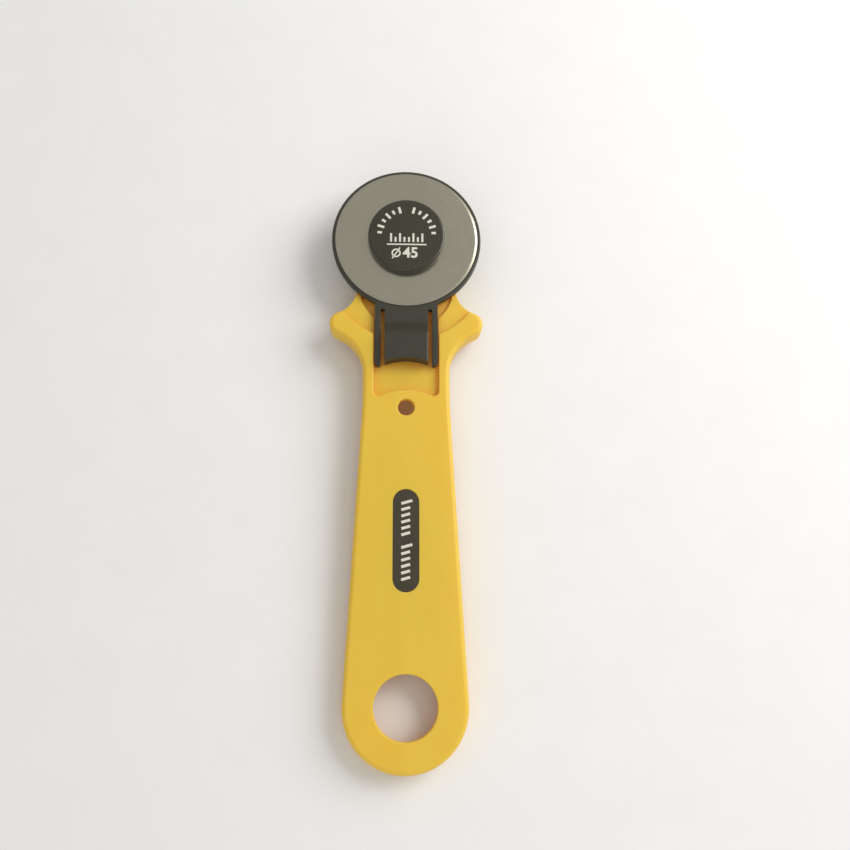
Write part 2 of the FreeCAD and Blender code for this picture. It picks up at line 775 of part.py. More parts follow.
def make_cap(doc):
    """Plastic head moulded on the bolt, slightly crowned, hollow below for the bolt's flange."""
    body = new_body(doc, "bolt_cap")
    low = dim("cap_low")
    high = dim("cap_high")
    edge = dim("cap_edge")
    flange = dim("flange_round") + dim("flange_gap")
    ceiling = low + dim("flange_thick") + dim("flange_gap")
    draw = Drawing(body, "cap_profile", plane="XZ_Plane")
    draw.polygon([(0, ceiling), (flange, ceiling), (flange, low), (dim("cap_round"), low),
                  (dim("cap_round"), high - dim("cap_crown")), (0, high)])
    revolve(body, "cap_body", draw)
    rim = dim("cap_round").value

    def top_rim(edge_line):
        box = edge_line.BoundBox
        return abs(box.XMax - rim) < 1e-3 and box.ZLength < 1e-3 and box.ZMax > ceiling.value

    dress(body, "Fillet", "cap_rim", edge, top_rim)
    return body


def make_bolt(doc):
    """Steel bolt: flange, shoulder for the blade, flats for the handle and threaded end."""
    body = new_body(doc, "axle_bolt")
    thread = dim("thread_round")
    chamfer = dim("thread_chamfer")
    shoulder = dim("shoulder_round")
    flange = dim("flange_round")
    base = dim("thread_low")
    step = dim("shoulder_low")
    seat = dim("cap_low")
    top = seat + dim("flange_thick")
    draw = Drawing(body, "bolt_profile", plane="XZ_Plane")
    draw.polygon([(0, base), (thread - chamfer, base), (thread, base + chamfer), (thread, step),
                  (shoulder, step), (shoulder, seat), (flange, seat), (flange, top), (0, top)])
    revolve(body, "bolt_body", draw)
    flats = Drawing(body, "flats_outline", height=step)
    for side in (1, -1):
        near = dim("shoulder_flat") * side
        far = shoulder * PAST * side
        left, right = (near, far) if side > 0 else (far, near)
        flats.rectangle(left, right, -shoulder * PAST, shoulder * PAST)
    pocket(body, "flats", flats, dim("disc_floor") - dim("slide_gap") - step)
    return body


# ---------------------------------------------------------------- washer, nut and knob

def make_washer(doc):
    """Ring of spring steel bent to an arch, cut from the wall of a wide tube."""
    thick = dim("washer_thick")
    outer = dim("washer_outer")
    rise = dim("washer_high") - dim("washer_low") - thick
    bend = (outer * outer + rise * rise) / (rise * 2)

    def cylinder(name, radius, height, upright, base_z):
        tube = doc.addObject("Part::Cylinder", name)
        tube.setExpression("Radius", radius.text)
        tube.setExpression("Height", height.text)
        tilt = 0 if upright else -90
        tube.Placement = FreeCAD.Placement(Vector(0, BLADE_AXIS_Y, 0), FreeCAD.Rotation(0, 0, tilt))
        tube.setExpression("Placement.Base.z", base_z.text)
        if not upright:
            tube.setExpression("Placement.Base.y", f"{BLADE_AXIS_Y} - {(height / 2).text}")
        return tube

    def minus(name, base, tool):
        cut = doc.addObject("Part::Cut", name)
        cut.Base = base
        cut.Tool = tool
        return cut

    length = outer * 2 * PAST
    centre_z = dim("washer_high") - thick - bend
    arch = minus("washer_arch", cylinder("arch_outside", bend + thick, length, False, centre_z),
                 cylinder("arch_inside", bend, length, False, centre_z))
    low = dim("washer_low") - thick
    height = (rise + thick) * PAST
    ring = minus("washer_ring", cylinder("ring_outside", outer, height, True, low),
                 cylinder("ring_bore", dim("washer_bore"), height, True, low))
    washer = doc.addObject("Part::Common", "spring_washer")
    washer.Base = ring
    washer.Tool = arch
    washer.Label = "spring_washer"
    doc.recompute()
    return washer


def hexagon(draw, across):
    """A hexagon across flats, with two flats square to Y."""
    radius = across / math.sqrt(3)
    turns = [math.radians(60 * number) for number in range(6)]
    draw.polygon([(radius * round(math.cos(turn), 9), radius * round(math.sin(turn), 9)) for turn in turns])


def make_insert(doc):
    """Hexagonal steel nut moulded into the knob."""
    body = new_body(doc, "nut_insert")
    draw = Drawing(body, "insert_outline", height=dim("insert_low"))
    hexagon(draw, dim("insert_across"))
    draw.circle(0, 0, dim("insert_bore"))
    pad(body, "insert_block", draw, dim("knob_high") - dim("insert_low"))
    return body


def make_knob(doc):
    """Round plastic knob with a fluted edge, turned by hand to free the blade."""
    body = new_body(doc, "nut_knob")
    low = dim("knob_low")
    high = dim("knob_high")
    radius = dim("knob_round")
    chamfer = dim("knob_chamfer")
    bore = dim("knob_bore")
    draw = Drawing(body, "knob_profile", plane="XZ_Plane")
    draw.polygon([(bore, low), (radius - chamfer, low), (radius, low + chamfer), (radius, high), (bore, high)])
    revolve(body, "knob_body", draw)

    seat = Drawing(body, "insert_seat_outline", height=dim("insert_low") - dim("insert_gap"))
    hexagon(seat, dim("insert_across") + dim("insert_gap") * 2)
    pocket(body, "insert_seat", seat, high - low)

    flute = Drawing(body, "flute_outline", height=0)
    flute.circle(dim("flute_reach"), 0, dim("flute_round"))
    first = pocket(body, "flute", flute, high * PAST)
    flutes = body.newObject("PartDesign::PolarPattern", "flutes")
    flutes.Originals = [first]
    flutes.Axis = (flute.sketch, ["N_Axis"])
    flutes.Angle = 360
    flutes.setExpression("Occurrences", dim("knob_flutes").text)
    body.Tip = flutes
    doc.recompute()
    return body


def main():
    doc = FreeCAD.newDocument("rotary_cutter")
    make_sheet(doc)
    makers = (make_handle, make_label_plate, make_guard, make_blade, make_cap, make_bolt, make_insert, make_knob)
    pieces = [make(doc) for make in makers]
    for body in pieces:
        body.Placement.Base = Vector(0, BLADE_AXIS_Y, 0)
    pieces.append(make_washer(doc))
    doc.recompute()
    for item in doc.Objects:
        if "Invalid" in item.State or "Error" in item.State:
            raise RuntimeError(f"{item.Name} failed: {item.State}")
    for piece in pieces:
        if piece.Shape.isNull() or not piece.Shape.isValid():
            raise RuntimeError(f"{piece.Label} has no valid shape")
        if len(piece.Shape.Solids) != 1:
            raise RuntimeError(f"{piece.Label} is not one solid")
    os.makedirs("parts", exist_ok=True)
    for piece in pieces:
        piece.Shape.exportStep(os.path.join("parts", f"{piece.Label}.step"))
        box = piece.Shape.optimalBoundingBox(False)
        print(f"{piece.Label:14s} {piece.Shape.Volume:9.1f} mm3  z {box.ZMin:.2f} to {box.ZMax:.2f}")


main()
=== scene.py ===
import math

import bmesh
import bpy
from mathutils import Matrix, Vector


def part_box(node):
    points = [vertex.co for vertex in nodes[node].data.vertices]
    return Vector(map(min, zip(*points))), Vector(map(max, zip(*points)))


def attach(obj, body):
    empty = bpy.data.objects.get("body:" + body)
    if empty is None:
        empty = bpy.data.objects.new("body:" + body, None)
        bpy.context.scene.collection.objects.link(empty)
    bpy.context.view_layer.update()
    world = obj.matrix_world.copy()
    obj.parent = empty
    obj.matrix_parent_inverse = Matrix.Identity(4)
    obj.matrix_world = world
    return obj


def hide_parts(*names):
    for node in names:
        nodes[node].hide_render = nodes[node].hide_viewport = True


# Rotary cutter lying on the nut's knob and the tail, in metres: +Y points to the head and +Z out
# of the blade side. Shapes made here are written in millimetres, in plan from the blade's axis.

MM = 0.001
TURN = 2 * math.pi
GLOW_SHARE = 0.24      # part of the light that the yellow plastic lets through
NOOK_SHADE_REACH = 0.005           # corners narrower than this get a painted orange shade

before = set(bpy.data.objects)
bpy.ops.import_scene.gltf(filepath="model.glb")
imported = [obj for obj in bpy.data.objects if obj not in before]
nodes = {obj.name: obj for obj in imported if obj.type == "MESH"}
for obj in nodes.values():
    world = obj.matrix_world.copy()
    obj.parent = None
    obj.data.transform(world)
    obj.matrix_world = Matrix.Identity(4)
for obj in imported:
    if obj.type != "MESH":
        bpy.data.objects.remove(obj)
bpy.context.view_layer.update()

blade_low, blade_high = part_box("blade")
AXIS_Y = (blade_low.y + blade_high.y) / 2


# ---------------------------------------------------------------- materials

class Nodes:
    """A node material with one Principled shader."""

    def __init__(self, name, **values):
        self.material = bpy.data.materials.new(name)
        self.material.use_nodes = True
        self.tree = self.material.node_tree
        self.tree.nodes.clear()
        self.output = self.tree.nodes.new("ShaderNodeOutputMaterial")
        self.shader = self.tree.nodes.new("ShaderNodeBsdfPrincipled")
        self.tree.links.new(self.shader.outputs[0], self.output.inputs[0])
        for key, value in values.items():
            self.shader.inputs[key.replace("_", " ")].default_value = value
        self.place = self.add("ShaderNodeTexCoord").outputs["Object"]

    def add(self, kind, inputs=None, **settings):
        node = self.tree.nodes.new(kind)
        for key, value in settings.items():
            setattr(node, key, value)
        for key, value in (inputs or {}).items():
            if isinstance(value, bpy.types.NodeSocket):
                self.tree.links.new(value, node.inputs[key])
            else:
                node.inputs[key].default_value = value
        return node

    def feed(self, key, socket):
        self.tree.links.new(socket, self.shader.inputs[key])

    def math(self, operation, *values, clamp=False):
        inputs = dict(enumerate(values))
        return self.add("ShaderNodeMath", inputs, operation=operation, use_clamp=clamp).outputs[0]

    def stretch(self, scale, source=None):
        inputs = {0: source or self.place, 1: scale}
        return self.add("ShaderNodeVectorMath", inputs, operation="MULTIPLY").outputs[0]

    def noise(self, scale, detail, roughness, source=None, distortion=0.0):
        inputs = {"Vector": source or self.place, "Scale": scale, "Detail": detail,
                  "Roughness": roughness, "Distortion": distortion}
        return self.add("ShaderNodeTexNoise", inputs).outputs["Fac"]

    def remap(self, socket, low, high, to_low, to_high, smooth=False):
        kind = "SMOOTHSTEP" if smooth else "LINEAR"
        inputs = {0: socket, 1: low, 2: high, 3: to_low, 4: to_high}
        return self.add("ShaderNodeMapRange", inputs, interpolation_type=kind, clamp=True).outputs[0]

    def mix(self, amount, one, other):
        node = self.add("ShaderNodeMix", data_type="RGBA")
        for socket, value in ((node.inputs[0], amount), (node.inputs[6], one), (node.inputs[7], other)):
            if isinstance(value, bpy.types.NodeSocket):
                self.tree.links.new(value, socket)
            else:
                socket.default_value = value
        return node.outputs[2]

    def soft_normal(self, radius):
        """Normals as if every edge had this radius."""
        return self.add("ShaderNodeBevel", {"Radius": radius}, samples=6).outputs[0]

    def edges(self, normal):
        """1 on an edge and 0 on a flat face, from normals that are rounded there."""
        true = self.add("ShaderNodeNewGeometry").outputs["Normal"]
        dot = self.add("ShaderNodeVectorMath", {0: normal, 1: true}, operation="DOT_PRODUCT")
        return self.remap(dot.outputs["Value"], 0.995, 0.80, 0.0, 1.0)

    def bump(self, height, distance, normal=None):
        inputs = {"Height": height, "Distance": distance, "Strength": 1.0}
        if normal is not None:
            inputs["Normal"] = normal
        return self.add("ShaderNodeBump", inputs).outputs[0]

    def let_through(self, colour, share):
        """Let part of the light pass through the wall."""
        through = self.add("ShaderNodeBsdfTranslucent", {"Color": colour}).outputs[0]
        blend = self.add("ShaderNodeMixShader", {0: share, 1: self.shader.outputs[0], 2: through})
        self.tree.links.new(blend.outputs[0], self.output.inputs[0])

    def reach(self):
        """Distance from the blade's axis."""
        inputs = {0: self.place, 1: (0, AXIS_Y, 0)}
        moved = self.add("ShaderNodeVectorMath", inputs, operation="SUBTRACT")
        flat = self.stretch((1, 1, 0), moved.outputs[0])
        return self.add("ShaderNodeVectorMath", {0: flat}, operation="LENGTH").outputs["Value"]


def rgb(red, green, blue):
    return (red, green, blue, 1.0)


def moulded_plastic(name, colour, deep, worn, rough, grain, soft, seam=None, glow_and_nook_shade=None, **values):
    """Moulded plastic with flow marks, fine grain, faint scuffs, rubbed edges and, where a glow colour
    is given, painted orange shade in its corners.

    seam is the height of the mould's parting line; glow is the colour of the light let through, and
    also of the painted shade tinted into narrow corners."""
    m = Nodes(name, **values)
    rounded = m.soft_normal(soft)
    flow = m.noise(1.0, 4.0, 0.6, m.stretch((55, 16, 55)), 0.6)
    cloud = m.noise(140.0, 5.0, 0.6)
    tone = m.mix(m.remap(flow, 0.35, 0.68, 0.0, 1.0, True), deep, colour)
    tone = m.mix(m.remap(cloud, 0.30, 0.75, 0.0, 0.35), tone, colour)
    scuffs = m.noise(1.0, 6.0, 0.72, m.stretch((900, 110, 900)), 0.8)
    scuff = m.remap(scuffs, 0.635, 0.70, 0.0, 1.0)
    patch = m.remap(m.noise(75.0, 2.0, 0.5), 0.48, 0.66, 0.0, 1.0, True)
    scuff = m.math("MULTIPLY", scuff, patch)
    edge = m.math("MULTIPLY", m.edges(rounded), m.remap(cloud, 0.35, 0.65, 0.35, 1.0))
    tone = m.mix(m.math("MULTIPLY", edge, 0.5), tone, worn)
    tone = m.mix(m.math("MULTIPLY", scuff, 0.16), tone, worn)
    # painted shade: ambient occlusion tints narrow corners and recesses towards the glow colour,
    # standing in for the deeper orange of shade there
    if glow_and_nook_shade is not None:
        painted_nook_shade = m.add("ShaderNodeAmbientOcclusion", {"Distance": NOOK_SHADE_REACH}, samples=6).outputs["AO"]
        tone = m.mix(m.remap(painted_nook_shade, 0.25, 0.90, 0.85, 0.0), tone, glow_and_nook_shade)
    m.feed("Base Color", tone)
    grit = m.noise(5200.0, 2.0, 0.5)
    gloss = m.remap(m.noise(260.0, 5.0, 0.65), 0.3, 0.7, rough - 0.05, rough + 0.06)
    gloss = m.math("ADD", gloss, m.math("MULTIPLY", scuff, 0.14))
    m.feed("Roughness", m.math("SUBTRACT", gloss, m.math("MULTIPLY", edge, 0.06), clamp=True))
    height = m.math("MULTIPLY", grit, grain)
    height = m.math("ADD", height, m.math("MULTIPLY", m.noise(420.0, 3.0, 0.5), grain * 1.6))
    height = m.math("SUBTRACT", height, m.math("MULTIPLY", scuff, grain * 0.8))
    if seam is not None:
        level = m.add("ShaderNodeSeparateXYZ", {0: m.place}).outputs[2]
        away = m.math("ABSOLUTE", m.math("SUBTRACT", level, seam))
        height = m.math("ADD", height, m.remap(away, 0.00002, 0.00009, 2.2, 0.0, True))
    m.feed("Normal", m.bump(height, 0.00001, rounded))
    if glow_and_nook_shade is not None:
        m.let_through(glow_and_nook_shade, GLOW_SHARE)
    return m.material


def turned_steel(name, colour, deep, rough, rings, soft):
    """Steel with ring marks round the blade's axis, light stains and rubbed edges."""
    m = Nodes(name, Metallic=1.0)
    spread = 0.035
    rounded = m.soft_normal(soft)
    line = m.add("ShaderNodeCombineXYZ", {0: m.math("MULTIPLY", m.reach(), rings)}).outputs[0]
    fine = m.noise(1.0, 5.0, 0.75, line)
    broad = m.noise(0.09, 3.0, 0.5, line)
    stain = m.noise(95.0, 4.0, 0.6, distortion=0.5)
    marks = m.noise(1.0, 5.0, 0.8, m.stretch((1500, 180, 600)), 0.6)
    mark = m.remap(marks, 0.66, 0.72, 0.0, 1.0)
    tone = m.mix(m.remap(fine, 0.3, 0.7, 0.0, 1.0), deep, colour)
    tone = m.mix(m.remap(stain, 0.45, 0.75, 0.0, 0.30), tone, deep)
    edge = m.edges(rounded)
    tone = m.mix(m.math("MULTIPLY", edge, 0.5), tone, rgb(0.86, 0.85, 0.82))
    m.feed("Base Color", tone)
    gloss = m.remap(fine, 0.3, 0.7, rough - spread, rough + spread)
    gloss = m.math("ADD", gloss, m.remap(broad, 0.35, 0.65, -0.02, 0.02))
    gloss = m.math("ADD", gloss, m.remap(stain, 0.4, 0.7, 0.0, 0.05))
    m.feed("Roughness", m.math("ADD", gloss, m.math("MULTIPLY", mark, 0.08), clamp=True))
    height = m.math("SUBTRACT", m.math("MULTIPLY", fine, 0.16), m.math("MULTIPLY", mark, 0.25))
    m.feed("Normal", m.bump(height, 0.000004, rounded))
    return m.material


def pale_ink(name, colour):
    """Pale printing ink: slightly uneven, with pinholes where it is thin."""
    m = Nodes(name, Roughness=0.55)
    cloud = m.noise(900.0, 4.0, 0.6)
    holes = m.remap(m.noise(5200.0, 2.0, 0.5), 0.66, 0.74, 0.0, 0.35)
    tone = m.mix(m.remap(cloud, 0.3, 0.7, 0.0, 0.22), colour, rgb(0.42, 0.40, 0.34))
    m.feed("Base Color", m.mix(holes, tone, rgb(0.12, 0.11, 0.09)))
    m.feed("Roughness", m.remap(cloud, 0.3, 0.7, 0.48, 0.62))
    m.feed("Normal", m.bump(cloud, 0.000006))
    return m.material


yellow = moulded_plastic(
    "yellow_plastic", rgb(0.93, 0.70, 0.086), rgb(0.91, 0.66, 0.072), rgb(0.97, 0.80, 0.22),
    0.38, 0.9, 0.00028, seam=0.0080, glow_and_nook_shade=rgb(0.98, 0.45, 0.06), Specular_IOR_Level=0.45,
    Subsurface_Weight=0.3, Subsurface_Scale=0.002, Subsurface_Radius=(1.0, 0.50, 0.15))
black = moulded_plastic(
    "black_plastic", rgb(0.038, 0.036, 0.022), rgb(0.032, 0.030, 0.018), rgb(0.10, 0.095, 0.075),
    0.42, 0.8, 0.00016, Specular_IOR_Level=0.5)
cap_black = moulded_plastic(
    "cap_plastic", rgb(0.041, 0.037, 0.022), rgb(0.035, 0.031, 0.018), rgb(0.085, 0.08, 0.064),
    0.26, 0.45, 0.00014, Specular_IOR_Level=0.5)
label_black = moulded_plastic(
    "label_plastic", rgb(0.056, 0.047, 0.029), rgb(0.046, 0.038, 0.022), rgb(0.10, 0.09, 0.07),
    0.40, 0.5, 0.00010, Specular_IOR_Level=0.4)
knob_black = moulded_plastic(
    "knob_plastic", rgb(0.040, 0.038, 0.032), rgb(0.033, 0.032, 0.027), rgb(0.11, 0.105, 0.095),
    0.48, 1.1, 0.00014, Specular_IOR_Level=0.5)
blade_steel = turned_steel(
    "blade_steel", rgb(0.51, 0.485, 0.385), rgb(0.46, 0.435, 0.345), 0.23, 5200.0, 0.00004)
plated_steel = turned_steel(
    "plated_steel", rgb(0.66, 0.66, 0.67), rgb(0.56, 0.56, 0.56), 0.30, 4200.0, 0.00008)
spring_steel = turned_steel(
    "spring_steel", rgb(0.58, 0.58, 0.59), rgb(0.47, 0.46, 0.45), 0.36, 2400.0, 0.00006)
ink = pale_ink("pale_ink", rgb(0.74, 0.72, 0.62))


def dress(thing, material):
    thing.data.materials.clear()
    thing.data.materials.append(material)


dress(nodes["handle"], yellow)
dress(nodes["label_plate"], label_black)
dress(nodes["blade_guard"], black)
dress(nodes["blade"], blade_steel)
dress(nodes["bolt_cap"], cap_black)
dress(nodes["spring_washer"], spring_steel)
dress(nodes["nut_insert"], plated_steel)


# ---------------------------------------------------------------- shapes

def make_piece(name, points, faces, material, body, smooth_angle=None):
    """A mesh piece from points in millimetres, x and y from the blade's axis."""
    mesh = bpy.data.meshes.new(name)
    mesh.from_pydata([(x * MM, y * MM + AXIS_Y, z * MM) for x, y, z in points], [], faces)
    mesh.materials.append(material)
    piece = bpy.data.objects.new(name, mesh)
    bpy.context.scene.collection.objects.link(piece)
    work = bmesh.new()
    work.from_mesh(mesh)
    bmesh.ops.recalc_face_normals(work, faces=work.faces)
    if smooth_angle is not None:
        for face in work.faces:
            face.smooth = True
        for edge in work.edges:
            edge.smooth = len(edge.link_faces) == 2 and edge.calc_face_angle(0.0) < smooth_angle
    work.to_mesh(mesh)
    work.free()
    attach(piece, body)
    return piece


def lathe(rings, segments, closed):
    """Points and faces from rings of (radius function, height).

    A ring without a radius is a point on the axis; closed joins the last ring to the first."""
    points, faces, starts = [], [], []
    for radius, height in rings:
        starts.append(len(points))
        if radius is None:
            points.append((0.0, 0.0, height))
            continue
        for step in range(segments):
            turn = TURN * step / segments
            r = radius(turn)
            points.append((r * math.cos(turn), r * math.sin(turn), height))
    pairs = list(zip(range(len(rings)), range(1, len(rings))))
    if closed:
        pairs.append((len(rings) - 1, 0))
    for one, other in pairs:
        low, high = starts[one], starts[other]
        for step in range(segments):
            following = (step + 1) % segments
            if rings[one][0] is None:
                faces.append((low, high + step, high + following))
            elif rings[other][0] is None:
                faces.append((low + step, low + following, high))
            else:
                faces.append((low + step, low + following, high + following, high + step))
    return points, faces


def constant(radius):
    return lambda turn: radius


def round_corner(r_from, z_from, corner_r, corner_z, r_to, z_to, steps):
    """Points of a soft corner between two profile points."""
    path = []
    for step in range(steps + 1):
        t = step / steps
        path.append(((1 - t) ** 2 * r_from + 2 * t * (1 - t) * corner_r + t * t * r_to,
                     (1 - t) ** 2 * z_from + 2 * t * (1 - t) * corner_z + t * t * z_to))
    return path


def soft_min(one, other, width):
    """The smaller of two lengths, blended where they are about the same."""
    mixed = max(width - abs(one - other), 0.0) / width
    return min(one, other) - mixed * mixed * width / 4


# ---------------------------------------------------------------- bolt with a real thread

def make_bolt():
    """Threaded end, flats, round shoulder and the flange inside the cap."""
    low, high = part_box("axle_bolt")
    base = low.z / MM
    top = high.z / MM
    thread, root, pitch = 2.95, 2.62, 1.0
    shoulder, flange, flat = 3.95, 7.0, 3.1
    step_z, flat_top, seat = 7.35, 10.7, 13.0
    slice_z, taper, run_out = 0.08, 0.5, 0.4
    bevel, flange_bevel = 0.1, 0.15
    segments = 96

    def threaded(height):
        """A slice of the thread, which tapers at its end and runs out below the step."""
        fade = min(1.0, (height - base) / taper, (step_z - 0.1 - height) / run_out)
        shrink = max(0.0, taper - (height - base)) * 0.9

        def radius(turn):
            phase = (height / pitch - turn / TURN) % 1.0
            ridge = min(1.0, max(0.0, abs(phase - 0.5) * 2.6 - 0.15))
            return thread - shrink - (thread - root) * (1.0 - ridge) * max(0.0, fade)
        return radius

    def flats(turn):
        across = abs(math.cos(turn))
        return min(shoulder, flat / across) if across > 1e-6 else shoulder

    rings = [(None, base + 0.12), (constant(1.6), base + 0.12)]
    rings += [(constant(1.95), base), (constant(2.35), base)]
    slices = range(2, int((step_z - base) / slice_z))
    rings += [(threaded(base + slice_z * n), base + slice_z * n) for n in slices]
    rings += [(constant(thread), step_z), (flats, step_z), (flats, flat_top),
              (constant(shoulder), flat_top), (constant(shoulder), seat - bevel),
              (constant(shoulder - bevel), seat), (constant(flange), seat),
              (constant(flange), top - flange_bevel), (constant(flange - flange_bevel), top),
              (None, top)]
    points, faces = lathe(rings, segments, False)
    bolt = make_piece("bolt_with_thread", points, faces, plated_steel, "handle",
                      math.radians(28))
    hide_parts("axle_bolt")


# ---------------------------------------------------------------- fluted knob

def make_knob():
    """Fluted rim, ringed back and the six-sided seat of the nut."""
    low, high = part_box("nut_knob")
    bottom, top = low.z / MM, high.z / MM
    outer, bore, seat = 10.4, 3.4, 5.03
    flutes, flute_reach, flute_round, flute_blend = 16, 11.2, 1.5, 0.22
    back_round, front_bevel, groove = 0.95, 0.3, 0.25
    insert_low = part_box("nut_insert")[0].z / MM - 0.03
    segments = 384

    def rim(inset):
        def radius(turn):
            pitch = TURN / flutes
            off = (turn + pitch / 2) % pitch - pitch / 2
            side = flute_reach * math.sin(off)
            notch = outer
            if abs(side) < flute_round:
                notch = flute_reach * math.cos(off) - math.sqrt(flute_round ** 2 - side ** 2)
            return soft_min(outer, notch, flute_blend) - inset
        return radius

    def hexagon(turn):
        sixth = TURN / 6
        return seat / math.cos(turn % sixth - sixth / 2)

    profile = [(bore + 0.12, bottom + 0.18), (bore + 0.3, bottom + 0.06), (5.6, bottom + 0.06),
               (5.8, bottom), (6.3, bottom), (6.5, bottom + groove), (8.6, bottom + groove),
               (8.8, bottom)]
    rings = [(constant(bore), insert_low), (constant(bore), bottom + 0.35)]
    rings += [(constant(r), z) for r, z in profile]
    corners = round_corner(back_round, bottom, 0.0, bottom, 0.0, bottom + back_round, 6)
    corners += round_corner(0.0, top - front_bevel, 0.0, top, front_bevel, top, 4)
    rings += [(rim(inset), z) for inset, z in corners]
    rings += [(constant(6.6), top), (hexagon, top), (hexagon, insert_low)]
    points, faces = lathe(rings, segments, True)
    knob = make_piece("nut_knob_fluted", points, faces, knob_black, "nut",
                      math.radians(32))
    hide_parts("nut_knob")


# ---------------------------------------------------------------- printed marks

INK_DEPTH = 0.05       # thickness of a strip of ink, most of it sunk in the plastic
INK_RISE = 0.008       # how far it stands out


def ribbon(path, width, top, points, faces, closed=False):
    """A closed thin strip of one width along a path; top gives the height at a point."""
    count = len(path)
    rails = []
    for step, (x, y) in enumerate(path):
        before = path[step - 1] if closed or step else path[0]
        after = path[(step + 1) % count] if closed or step < count - 1 else path[-1]
        along = Vector((after[0] - before[0], after[1] - before[1])).normalized() * width / 2
        rails.append(((x - along.y, y + along.x), (x + along.y, y - along.x)))
    first = len(points)
    for side, drop in ((0, 0.0), (1, 0.0), (1, INK_DEPTH), (0, INK_DEPTH)):
        points += [(*rail[side], top(*rail[side]) - drop) for rail in rails]
    for side in range(4):
        one, other = first + side * count, first + (side + 1) % 4 * count
        for step in range(count if closed else count - 1):
            following = (step + 1) % count
            faces.append((one + step, one + following, other + following, other + step))
    if not closed:
        faces.append(tuple(first + side * count for side in range(4)))
        faces.append(tuple(first + side * count + count - 1 for side in (3, 2, 1, 0)))


def straight(start, end):
    """Points along a line, at most half a millimetre apart."""
    length = math.hypot(end[0] - start[0], end[1] - start[1])
    steps = max(1, math.ceil(length / 0.5))
    return [tuple(a + (b - a) * step / steps for a, b in zip(start, end))
            for step in range(steps + 1)]


def circle(x, y, radius):
    steps = 48
    turns = [TURN * step / steps for step in range(steps)]
    return [(x + radius * math.cos(turn), y + radius * math.sin(turn)) for turn in turns]


def figures(text, x, y, size, weight, top, points, faces):
    """Figures in plain strokes of the built-in typeface, their outlines raised to thin plates."""
    curve = bpy.data.curves.new("figures", type="FONT")
    curve.body = text
    curve.size = size
    curve.offset = weight
    curve.align_x = "CENTER"
    curve.align_y = "CENTER"
    curve.resolution_u = 6
    holder = bpy.data.objects.new("figures", curve)
    bpy.context.scene.collection.objects.link(holder)
    bpy.context.view_layer.update()
    solved = holder.evaluated_get(bpy.context.evaluated_depsgraph_get())
    flat = bpy.data.meshes.new_from_object(solved)
    work = bmesh.new()
    work.from_mesh(flat)
    bmesh.ops.remove_doubles(work, verts=work.verts, dist=size * 1e-4)
    work.verts.ensure_lookup_table()
    first = len(points)
    count = len(work.verts)
    plan = [(v.co.x + x, v.co.y + y) for v in work.verts]
    points += [(px, py, top(px, py)) for px, py in plan]
    points += [(px, py, top(px, py) - INK_DEPTH) for px, py in plan]
    for face in work.faces:
        loop = [first + v.index for v in face.verts]
        faces.append(tuple(loop))
        faces.append(tuple(i + count for i in reversed(loop)))
    for edge in work.edges:
        if len(edge.link_faces) == 1:
            a, b = (first + v.index for v in edge.verts)
            faces.append((a, b, b + count, a + count))
    work.free()
    bpy.data.meshes.remove(flat)
    bpy.data.objects.remove(holder)
    bpy.data.curves.remove(curve)


def make_cap_marks():
    """Two runs of ticks like a dial's, a ruler's ticks, a line and the blade's size in figures."""
    low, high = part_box("bolt_cap")
    crown = high.z / MM
    rim = (high.x - low.x) / 2 / MM
    dome = 0.15
    points, faces = [], []

    def top(x, y):
        """The cap's slightly domed face."""
        return min(crown, crown - dome * math.hypot(x, y) / rim + INK_RISE)

    dial_gap, dial_step = 15, 14.2
    for side in (-1, 1):
        for step in range(6):
            turn = math.radians(90 + side * (dial_gap + dial_step * step))
            outer, inner = (9.6, 7.4) if step % 2 == 0 else (9.2, 7.8)
            ends = [(reach * math.cos(turn), reach * math.sin(turn)) for reach in (inner, outer)]
            ribbon(straight(*ends), 0.8, top, points, faces)
    ruler_foot, ruler_pitch = -2.55, 1.4
    for step in range(8):
        across = ruler_pitch * (step - 3.5)
        tall = 2.9 if step in (0, 2, 5, 7) else 1.6
        tick = straight((across, ruler_foot), (across, tall + ruler_foot))
        ribbon(tick, 0.62, top, points, faces)
    ribbon(straight((-6.2, -3.4), (6.2, -3.4)), 0.45, top, points, faces)
    figure_y = -6.3
    ribbon(circle(-3.3, figure_y, 1.2), 0.48, top, points, faces, closed=True)
    ribbon(straight((-4.5, figure_y - 1.8), (-2.1, figure_y + 1.8)), 0.42, top, points, faces)
    figures("45", 1.2, figure_y, 4.8, 0.12, top, points, faces)
    make_piece("cap_marks", points, faces, ink, "handle")


def make_label_marks():
    """Two groups of slanted bars running down the label plate, the first of each group longer."""
    plate_low, plate_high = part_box("label_plate")
    face = plate_high.z / MM
    middle = ((plate_low.y + plate_high.y) / 2 - AXIS_Y) / MM
    points, faces = [], []

    def top(x, y):
        return face + INK_RISE

    pitch, slope, near, group = 1.85, 0.28, -1.35, 6
    for step in range(2 * group + 1):
        if step == group:
            continue
        y = middle + pitch * (group - step) - 0.35
        far = 1.9 if step in (0, group + 1) else 1.25
        ribbon(straight((near, y), (far, y + (far - near) * slope)), 0.8, top, points, faces)
    make_piece("label_marks", points, faces, ink, "handle")


# ---------------------------------------------------------------- marks left by the mould

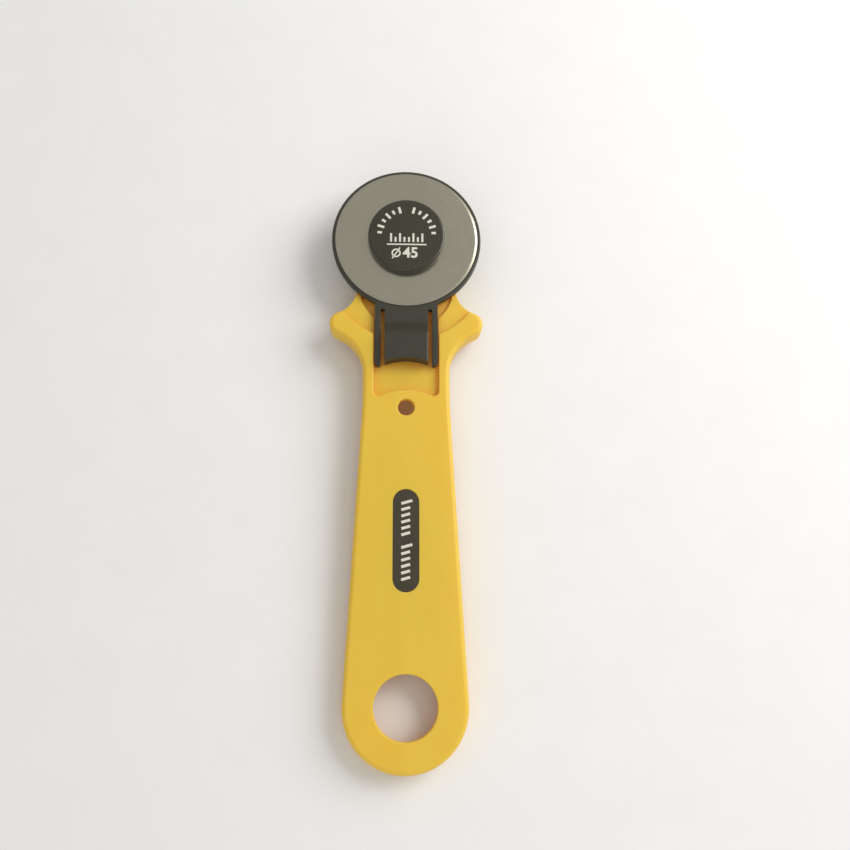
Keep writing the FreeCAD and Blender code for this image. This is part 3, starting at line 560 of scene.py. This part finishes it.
def make_mould_marks():
    """Round witness marks of the ejector pins inside the grip, and the gate's stub."""
    ceiling = 9.5
    points, faces = [], []

    def spot(across, down, rings, segments):
        first = len(points)
        ring_points, ring_faces = lathe(rings, segments, False)
        points.extend((x + across, y - down, z) for x, y, z in ring_points)
        faces.extend(tuple(i + first for i in face) for face in ring_faces)

    pin = [(None, ceiling + 0.03), (constant(1.75), ceiling + 0.03),
           (constant(1.7), ceiling - 0.05), (constant(1.45), ceiling - 0.07),
           (constant(1.35), ceiling - 0.04), (None, ceiling - 0.04)]
    for down, across in ((72.5, 6.2), (98.5, 6.6), (124.5, 9.0)):
        for side in (1, -1):
            spot(side * across, down, pin, 32)
    gate = [(None, ceiling + 0.03), (constant(0.95), ceiling + 0.03),
            (constant(0.9), ceiling - 0.25), (constant(0.72), ceiling - 0.36),
            (None, ceiling - 0.3)]
    spot(0.0, 85.5, gate, 24)
    make_piece("mould_marks", points, faces, yellow, "handle", math.radians(30))


make_bolt()
make_knob()
make_cap_marks()
make_label_marks()
make_mould_marks()


# ---------------------------------------------------------------- floor, light and camera

def make_floor():
    """A sheet of pale paper, tilted to touch the knob and the tail."""
    m = Nodes("floor_paper", Specular_IOR_Level=0.2)
    fibre = m.noise(60.0, 6.0, 0.6)
    tone = m.remap(fibre, 0.3, 0.7, 0.0, 1.0)
    m.feed("Base Color", m.mix(tone, rgb(0.86, 0.855, 0.85), rgb(0.88, 0.877, 0.87)))
    m.feed("Roughness", m.remap(fibre, 0.3, 0.7, 0.75, 0.85))
    mesh = bpy.data.meshes.new("floor")
    half = 3.0
    corners = [(-half, -half, 0), (half, -half, 0), (half, half, 0), (-half, half, 0)]
    mesh.from_pydata(corners, [], [(0, 1, 2, 3)])
    mesh.materials.append(m.material)
    floor = bpy.data.objects.new("floor", mesh)
    # it touches the rounded edge of the knob's back and the chamfered rim of the tail
    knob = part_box("nut_knob")[0]
    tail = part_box("handle")[0]
    knob_round, rim_chamfer, gap = 0.0009, 0.0004, 0.00003
    near = knob.y + knob_round
    far = tail.y + rim_chamfer
    floor.location = (0, near, knob.z - gap)
    floor.rotation_euler = (-math.atan2(tail.z - knob.z, near - far), 0, 0)
    bpy.context.scene.collection.objects.link(floor)


def area_light(name, place, aim, size, power, colour):
    """A rectangular lamp turned to the point it aims at."""
    data = bpy.data.lights.new(name, "AREA")
    data.shape = "RECTANGLE"
    data.size, data.size_y = size
    data.energy = power
    data.color = colour
    light = bpy.data.objects.new(name, data)
    light.location = place
    light.rotation_euler = (Vector(aim) - Vector(place)).to_track_quat("-Z", "Y").to_euler()
    bpy.context.scene.collection.objects.link(light)


def make_world():
    """Even grey light from all sides."""
    world = bpy.data.worlds.new("studio")
    bpy.context.scene.world = world
    world.use_nodes = True
    background = world.node_tree.nodes["Background"]
    background.inputs[0].default_value = (0.52, 0.515, 0.505, 1.0)
    background.inputs[1].default_value = 1.0


def make_camera():
    """The photo's point of view."""
    data = bpy.data.cameras.new("camera")
    data.sensor_width = 36.0
    data.lens = 35.96
    data.clip_start = 0.005
    data.clip_end = 20.0
    camera = bpy.data.objects.new("camera", data)
    camera.location = (-0.004183, AXIS_Y - 0.118703, 0.261573)
    camera.rotation_euler = (math.radians(13.131), math.radians(-2.229), math.radians(-0.169))
    bpy.context.scene.collection.objects.link(camera)
    bpy.context.scene.camera = camera


make_floor()
make_world()
area_light("key", (0.55, 0.30, 0.46), (0, 0.03, 0), (0.55, 0.55), 4.9, (1.0, 0.99, 0.965))
area_light("fill", (-0.25, -0.80, 0.32), (0, 0, 0), (0.8, 0.5), 1.4, (1.0, 0.99, 0.97))
make_camera()
bpy.context.scene.view_settings.view_transform = "Standard"
bpy.context.scene.view_settings.look = "None"
